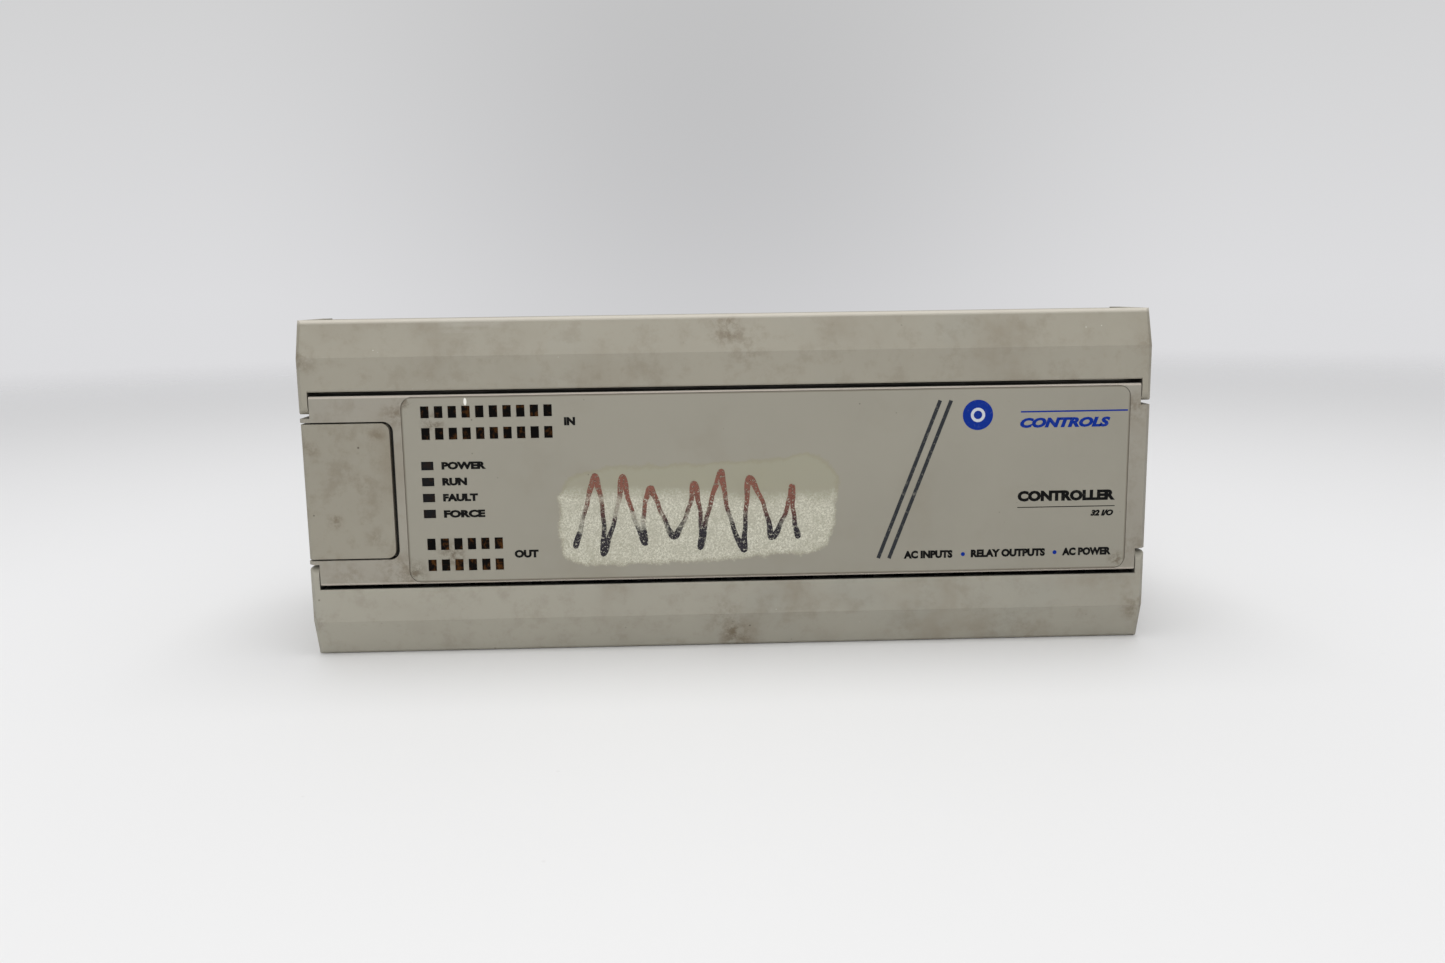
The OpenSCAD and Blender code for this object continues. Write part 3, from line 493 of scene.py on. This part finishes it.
def bar(x0, z0, x1, z1, thick):
    """A straight bar from one place to the other: its four corners."""
    along = np.array([x1 - x0, z1 - z0])
    side = np.array([along[1], -along[0]]) / np.linalg.norm(along) * thick / 2
    start = np.array([x0, z0])
    return np.array([start + side, start + along + side, start + along - side, start - side])


def disc(x, z, radius, count=48):
    """A circle: equal steps of angle."""
    turn = np.linspace(0, 2 * np.pi, count, endpoint=False)
    return np.column_stack([x + radius * np.cos(turn), z + radius * np.sin(turn)])


SLASH = [(49.8, 59.2, 35.35, 21.5), (52.4, 59.15, 37.95, 21.4)]
flat_piece("label_slashes", [bar(*s, 0.9) for s in SLASH], ink_grey)
flat_piece("label_blue_rule", [bar(69.0, 56.15, 94.5, 56.15, 0.36)], ink_blue)
flat_piece("label_product_rule", [bar(68.7, 33.2, 92.2, 33.2, 0.2)], ink_black)
flat_piece("label_emblem", [disc(58.8, 55.6, 3.6)], ink_blue)
flat_piece("label_emblem_ring", [disc(58.8, 55.6, 1.7)], ink_pale, INK_Y - 0.01 * MM)
flat_piece("label_emblem_core", [disc(58.8, 55.6, 1.0)], ink_blue, INK_Y - 0.02 * MM)
flat_piece("label_dots", [disc(x, 22.07, 0.5, 24) for x in (55.8, 78.0)], ink_blue)
print("lines and dots printed")

# %% Words


def word(name, text, left, base, height, width, finish, lean=0.0, weight=0.066):
    """Text whose capitals have this height, squeezed to this width, in millimetres."""
    curve = bpy.data.curves.new(name, "FONT")
    curve.body = text
    curve.offset = weight
    curve.shear = lean
    curve.resolution_u = 3
    shape = bpy.data.objects.new(name + "_text", curve)
    bpy.context.scene.collection.objects.link(shape)
    graph = bpy.context.evaluated_depsgraph_get()
    mesh = bpy.data.meshes.new_from_object(shape.evaluated_get(graph))
    bpy.data.objects.remove(shape)
    at = np.zeros(len(mesh.vertices) * 3, np.float32)
    mesh.vertices.foreach_get("co", at)
    at = at.reshape(-1, 3)
    low, high = at.min(0), at.max(0)
    x = left + (at[:, 0] - low[0]) / (high[0] - low[0]) * width
    z = base + (at[:, 1] - low[1]) / (high[1] - low[1]) * height
    placed = np.column_stack([x * MM, np.full(len(at), INK_Y), z * MM])
    mesh.vertices.foreach_set("co", placed.astype(np.float32).ravel())
    mesh.update()
    mesh.materials.clear()
    mesh.materials.append(finish)
    made = bpy.data.objects.new(name, mesh)
    bpy.context.scene.collection.objects.link(made)
    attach(made, "controller")
    return made


words = [
    ("word_in", "IN", -38.6, 54.85, 1.93, 2.6),
    ("word_out", "OUT", -51.4, 23.4, 1.93, 5.7),
    ("word_power", "POWER", -67.6, 44.9, 1.85, 10.4),
    ("word_run", "RUN", -67.6, 41.1, 1.85, 5.8),
    ("word_fault", "FAULT", -67.6, 37.3, 1.85, 8.2),
    ("word_force", "FORCE", -67.6, 33.4, 1.85, 9.7),
    ("word_inputs", "AC INPUTS", 41.5, 21.2, 1.95, 11.8),
    ("word_outputs", "RELAY OUTPUTS", 57.7, 21.2, 1.95, 18.0),
    ("word_supply", "AC POWER", 79.8, 21.2, 1.95, 11.9),
    ("word_product", "CONTROLLER", 68.7, 34.6, 2.6, 23.5),
]
for name, text, left, base, height, width in words:
    word(name, text, left, base, height, width, ink_black)
word("word_maker", "CONTROLS", 68.9, 52.3, 2.4, 21.5, ink_blue, 0.25, 0.062)
word("word_size", "32 I/O", 86.4, 30.8, 1.5, 5.5, ink_black, 0.25)
print(len(words) + 2, "words printed")

# %% [markdown]
# ## Marker strokes on the old sticker
#
# Someone once wrote on the sticker with a felt pen. The marks here are a loose hand-drawn zigzag
# with no letters in it, dark violet below and washed out to rust brown above. Each stroke is a thin
# ribbon: a path from a formula, widened to both sides, with noise that eats holes in it.

# %% Felt pen zigzag

STROKE_Y = label_low.y - 0.03 * MM


def pen_finish():
    """Felt pen ink: dark below, rust brown above, full at the ends of a stroke, thin between."""
    net = Network("felt pen")
    rise = (net.z + (net.noise(120, 3) - 0.5) * 0.008).ramp(0.0300, 0.0385)
    base = net.mix(rise, srgb(22, 15, 26), srgb(124, 74, 58))
    gaps = net.noise(1700, 3, 0.75).ramp(0.36, 0.50)
    thin = net.noise(170, 3, 0.6).ramp(0.40, 0.58)
    ends = net.z.ramp(0.0370, 0.0395).high(net.z.ramp(0.0300, 0.0275))
    cover = gaps * (0.25 + 0.75 * thin.high(ends))
    return net.finish(base, 0.6, Alpha=cover)


def stroke(name, ends, width, bow, wobble, y):
    """A ribbon between two ends. Its middle bows sideways as a half sine, with a small wobble.

    Its half width falls from each end to the middle as the fourth power of a cosine, and its very
    ends are rounded by the square root of one minus a high power of the distance from the middle.
    """
    t = np.linspace(0, 1, 48)
    a, b = np.array(ends[:2]), np.array(ends[2:])
    along = (b - a) / np.linalg.norm(b - a)
    side = np.array([-along[1], along[0]])
    path = a + np.outer(t, b - a) + np.outer(np.sin(np.pi * t) * bow, side)
    path = path + np.outer(np.sin(t * 19 + wobble) * 0.09, side)
    half = width / 2 * (0.60 + 0.40 * np.cos(np.pi * t) ** 4) * (1 - (2 * t - 1) ** 12) ** 0.5
    left = path + side * half[:, None]
    right = path - side * half[:, None]
    return flat_piece(name, [np.vstack([right, left[::-1]])], finish_pen, y)


finish_pen = pen_finish()
LOW, HIGH = 25.2, 42.0
LEFT, RIGHT = -37.0, 17.5
STROKES = 14
turn_no = np.arange(STROKES + 1)
corner_x = np.linspace(LEFT, RIGHT, STROKES + 1) + np.sin(turn_no * 2.1) * 1.5
corner_z = np.where(turn_no % 2 == 0, LOW, HIGH) + np.sin(turn_no * 2.3) * 2.0
for i in range(STROKES):
    ends = (corner_x[i], corner_z[i], corner_x[i + 1], corner_z[i + 1])
    depth = STROKE_Y - i * 0.002 * MM
    stroke(f"pen_stroke_{i:02d}", ends, 1.7, 1.1 * math.sin(i * 1.9), i * 1.7, depth)
print("pen strokes drawn")

# %% [markdown]
# ## Windows and lamps
#
# Each indicator is a smoked plastic window with a lamp far behind it. Unlit, a window looks almost
# black, with a brown cloud of dust in its corners.

# %% Smoked windows


def window_finish(name, deep, dust):
    """Smoked plastic of this deep colour, with this share of brown dust."""
    net = Network(name)
    cloud = net.noise(620, 4, 0.7).ramp(0.50, 0.66)
    base = net.mix(cloud * dust, deep, srgb(82, 50, 18))
    return net.finish(
        base, 0.55 + cloud * 0.2, net.bump(net.noise(1200, 2), 0.00002), Specular_IOR_Level=0.06
    )


dress("input_light_guide", window_finish("input windows", srgb(4, 3, 2), 0.55))
dress("output_light_guide", window_finish("output windows", srgb(5, 4, 3), 0.75))
dress("status_light_guide", window_finish("status windows", srgb(24, 24, 25), 0.12))
print("windows ready")

# %% [markdown]
# ## Finishes of the inner pieces
#
# Under the covers and between the vent slots are metal, moulded black plastic and circuit boards.
# A few small recipes cover them all: plain plastic, brushed metal, a board with its copper tracks
# under lacquer, and card.

# %% Small recipes


def plain(name, colour, rough=0.45, specks=0.25):
    """Moulded plastic or resin with faint clouds, fine grain and a little dust."""
    net = Network(name)
    cloud = net.noise(90, 4)
    dust = net.noise(420, 4, 0.7).ramp(0.52, 0.74)
    base = net.mix(cloud, tuple(v * 0.85 for v in colour), tuple(min(1, v * 1.1) for v in colour))
    base = net.mix(dust * specks, base, srgb(150, 140, 120))
    return net.finish(base, rough + dust * 0.25, net.bump(net.noise(3000, 2), 0.00002, 0.5))


def metal(name, colour, rough=0.3, brushed=(1, 1, 14)):
    """Plated metal: fine brush lines, and dull spots where the plating has turned."""
    net = Network(name)
    lines = net.noise(900, 3, 0.6, brushed)
    dull = net.noise(260, 4, 0.65).ramp(0.50, 0.72)
    base = net.mix(dull * 0.6, colour, tuple(v * 0.55 for v in colour))
    return net.finish(
        base, rough + lines * 0.18 + dull * 0.25, net.bump(lines, 0.00002, 0.5), 1.0 - dull * 0.25
    )


def board(name, colour, track):
    """Lacquered laminate. Stepped noise along X and Z gives straight runs of copper below it."""
    net = Network(name)
    runs = net.noise(130, 1, 0.4, (0.15, 1, 2.4)).ramp(0.52, 0.54)
    drops = net.noise(150, 1, 0.4, (2.6, 1, 0.12)).ramp(0.57, 0.59)
    copper = runs.high(drops)
    weave = abs(net.noise(1500, 2) - 0.5)
    base = net.mix(copper * 0.7, colour, track)
    pads = 1 - net.cells(240).ramp(0.10, 0.12)
    base = net.mix(pads * 0.8, base, srgb(178, 178, 172))
    dust = net.noise(130, 4, 0.7).ramp(0.50, 0.8)
    base = net.mix(dust * 0.3, base, srgb(140, 132, 112))
    height = copper * 0.6 + pads * 0.8 + weave * 0.2
    return net.finish(base, 0.32 + dust * 0.35, net.bump(height, 0.00004), Coat_Weight=0.25)


def card(name, colour):
    """Paper or pressboard: soft fibres and faint printed rows."""
    net = Network(name)
    fibre = net.noise(700, 4, 0.7, (1, 1, 3))
    base = net.mix(fibre * 0.3, colour, tuple(v * 0.8 for v in colour))
    rows = abs(net.node("ShaderNodeMath", {"operation": "SINE"}, net.z * 2600)).ramp(0.86, 0.97)
    breaks = net.noise(420, 1, 0.5, (1, 1, 0.1)).ramp(0.46, 0.5)
    base = net.mix(rows * breaks * 0.55, base, srgb(70, 70, 72))
    return net.finish(base, 0.75, net.bump(fibre, 0.00003, 0.6))


black = plain("black moulding", srgb(34, 34, 36), 0.42)
steel = metal("zinc plate", srgb(190, 190, 186), 0.28)
tin = metal("tinned brass", srgb(196, 188, 160), 0.32)
resin = plain("chip resin", srgb(30, 30, 32), 0.5, 0.15)
lamp_resin = plain("lamp resin", srgb(214, 196, 160), 0.2, 0.05)
sleeve = plain("capacitor sleeve", srgb(30, 36, 66), 0.3, 0.2)
ferrite = plain("ferrite", srgb(58, 58, 62), 0.6, 0.15)
paper = card("legend card", srgb(214, 212, 204))
print("inner finishes ready")

# %% Which piece wears what

wear = {
    "rating_label": paper,
    "input_wiring_label": paper,
    "output_wiring_label": paper,
    "latch_spring": metal("spring wire", srgb(150, 150, 154), 0.25),
    "input_leds": lamp_resin,
    "output_leds": lamp_resin,
    "status_leds": lamp_resin,
    "logic_board": board("green board", srgb(24, 84, 48), srgb(44, 120, 66)),
    "processor_chip": resin,
    "memory_chips": resin,
    "crystal": metal("drawn can", srgb(200, 200, 202), 0.22),
    "board_header": black,
    "comm_socket_body": black,
    "comm_socket_shield": steel,
    "comm_socket_contacts": metal("gilt contacts", srgb(214, 176, 96), 0.25),
    "io_board": board("io board", srgb(24, 84, 48), srgb(44, 120, 66)),
    "output_relays": plain("relay housing", srgb(206, 206, 198), 0.4, 0.2),
    "input_optocouplers": resin,
    "input_resistors": plain("resistor lacquer", srgb(128, 164, 170), 0.4, 0.15),
    "output_varistors": plain("varistor coat", srgb(44, 82, 150), 0.35, 0.1),
    "power_board": board("tan board", srgb(150, 118, 66), srgb(172, 140, 84)),
    "transformer_core": ferrite,
    "transformer_winding": plain("winding tape", srgb(206, 178, 60), 0.25, 0.1),
    "choke_core": ferrite,
    "choke_winding": metal("enamelled wire", srgb(170, 92, 48), 0.3),
    "bulk_capacitors": sleeve,
    "filter_capacitors": sleeve,
    "line_capacitor": plain("film capacitor", srgb(206, 176, 60), 0.35, 0.15),
    "bridge_rectifier": resin,
    "heat_sink": metal("heat sink", srgb(196, 198, 202), 0.35),
    "power_transistor": resin,
    "transistor_screw": steel,
    "fuse_clips": steel,
    "fuse": plain("fuse glass", srgb(196, 204, 202), 0.12, 0.05),
    "board_standoffs": tin,
    "board_screws": steel,
    "supply_ribbon": plain("ribbon lead", srgb(150, 150, 154), 0.5, 0.2),
    "ribbon_sockets": black,
    "insulator_sheet": card("pressboard", srgb(196, 188, 160)),
}
for side in ("input", "output"):
    wear[side + "_terminal_base"] = black
    wear[side + "_terminal_barriers"] = black
    wear[side + "_terminal_tags"] = tin
for node, finish in wear.items():
    dress(node, finish)
for side in ("input", "output"):
    softened(side + "_terminal_screws", 0.18, "controller", steel, 50)
    softened(side + "_clamp_plates", 0.12, "controller", steel, 50)
softened("din_latch", 0.3, "latch", plain("latch plastic", srgb(40, 40, 42), 0.4), 40)
print(len(wear), "pieces dressed")

# %% [markdown]
# ## Floor, light and camera
#
# The controller stands on a white table in soft light. The floor fades out with distance, so no
# horizon line shows. A large lamp above and in front gives the pale shadow, and the sky fills it.

# %% The floor

FADE_START = 0.35
FADE_END = 1.5


def floor_finish():
    """A white floor, lighter to the sides by painted light, that turns clear with distance."""
    net = Network("floor")
    away = net.node(
        "ShaderNodeVectorMath", {"operation": "LENGTH"}, net.place, out="Value"
    )
    cloud = net.noise(6, 4)
    specks = 1 - net.cells(60).ramp(0.010, 0.03)
    base = net.mix(cloud * 0.3, (0.79, 0.79, 0.79), (0.75, 0.75, 0.755))
    # Painted light: the floor is lighter to the sides, where the lamps leave it dim.
    base = net.mix(abs(net.x).ramp(0.08, 0.22) * 0.9, base, (0.84, 0.84, 0.845))
    base = net.mix(specks * 0.12, base, (0.45, 0.42, 0.40))
    net.finish(base, 0.55)
    clear = net.node("ShaderNodeBsdfTransparent", {})
    blend = net.tree.nodes.new("ShaderNodeMixShader")
    net.fill(blend.inputs[0], away.ramp(FADE_START, FADE_END))
    net.tree.links.new(net.shader.outputs[0], blend.inputs[1])
    net.tree.links.new(clear.socket, blend.inputs[2])
    net.tree.links.new(blend.outputs[0], net.tree.nodes["Material Output"].inputs[0])
    return net.material


FLOOR_REACH = 3.0
floor_mesh = bpy.data.meshes.new("floor")
corners = [(-1, -1, 0), (1, -1, 0), (1, 1, 0), (-1, 1, 0)]
floor_mesh.from_pydata([Vector(c) * FLOOR_REACH for c in corners], [], [(0, 1, 2, 3)])
floor_mesh.materials.append(floor_finish())
floor = bpy.data.objects.new("floor", floor_mesh)
bpy.context.scene.collection.objects.link(floor)
print("floor laid")

# %% Sky and lamps

world = bpy.data.worlds.new("studio")
bpy.context.scene.world = world
world.use_nodes = True
sky = world.node_tree
direction = sky.nodes.new("ShaderNodeTexCoord")
parts = sky.nodes.new("ShaderNodeSeparateXYZ")
sky.links.new(direction.outputs["Generated"], parts.inputs[0])
fall = sky.nodes.new("ShaderNodeValToRGB")
fall.color_ramp.elements[0].position = 0.0
fall.color_ramp.elements[0].color = (0.72, 0.72, 0.735, 1)
fall.color_ramp.elements[1].position = 0.22
fall.color_ramp.elements[1].color = (0.64, 0.64, 0.645, 1)
sky.links.new(parts.outputs[2], fall.inputs[0])

# A painted shadow makes the wall a little darker straight behind the case than to its sides.
away = sky.nodes.new("ShaderNodeVectorMath")
away.operation = "DISTANCE"
away.inputs[1].default_value = (0.03, 0.99, 0.10)
sky.links.new(direction.outputs["Generated"], away.inputs[0])
shade = sky.nodes.new("ShaderNodeMapRange")
shade.interpolation_type = "SMOOTHSTEP"
shade.inputs[1].default_value = 0.0
shade.inputs[2].default_value = 0.42
shade.inputs[3].default_value = 0.80
shade.inputs[4].default_value = 1.0
sky.links.new(away.outputs["Value"], shade.inputs[0])
dim = sky.nodes.new("ShaderNodeVectorMath")
dim.operation = "SCALE"
sky.links.new(fall.outputs[0], dim.inputs[0])
sky.links.new(shade.outputs[0], dim.inputs["Scale"])
sky.links.new(dim.outputs[0], sky.nodes["Background"].inputs[0])

# The sky is seen at full strength but lights the case with less, so that the lamps shape it.
ray = sky.nodes.new("ShaderNodeLightPath")
power = sky.nodes.new("ShaderNodeMapRange")
power.inputs[3].default_value = 0.66
power.inputs[4].default_value = 1.0
sky.links.new(ray.outputs["Is Camera Ray"], power.inputs[0])
sky.links.new(power.outputs[0], sky.nodes["Background"].inputs[1])


def lamp(name, place, target, size, power):
    """A square soft light that faces its target."""
    light = bpy.data.lights.new(name, "AREA")
    light.size = size
    light.energy = power
    made = bpy.data.objects.new(name, light)
    bpy.context.scene.collection.objects.link(made)
    made.location = place
    made.rotation_euler = (Vector(target) - Vector(place)).to_track_quat("-Z", "Y").to_euler()
    return made


lamp("lamp_above", (0.0, 0.02, 1.1), (0, 0, 0.03), 1.0, 8.0)
lamp("lamp_front", (-0.12, -1.1, 0.74), (0, 0, 0.04), 0.6, 5.6)
print("lights placed")

# %% The camera

camera = bpy.data.cameras.new("camera")
camera.sensor_width = 36.0
camera.lens = 29.614
camera.clip_start = 0.01
view = bpy.data.objects.new("camera", camera)
bpy.context.scene.collection.objects.link(view)
view.location = (-0.00925, -0.31405, 0.08531)
view.rotation_euler = [math.radians(v) for v in (80.902, 0.83, -1.683)]
bpy.context.scene.camera = view
bpy.context.scene.view_settings.view_transform = "Standard"
print("camera at", [round(v, 4) for v in view.location])
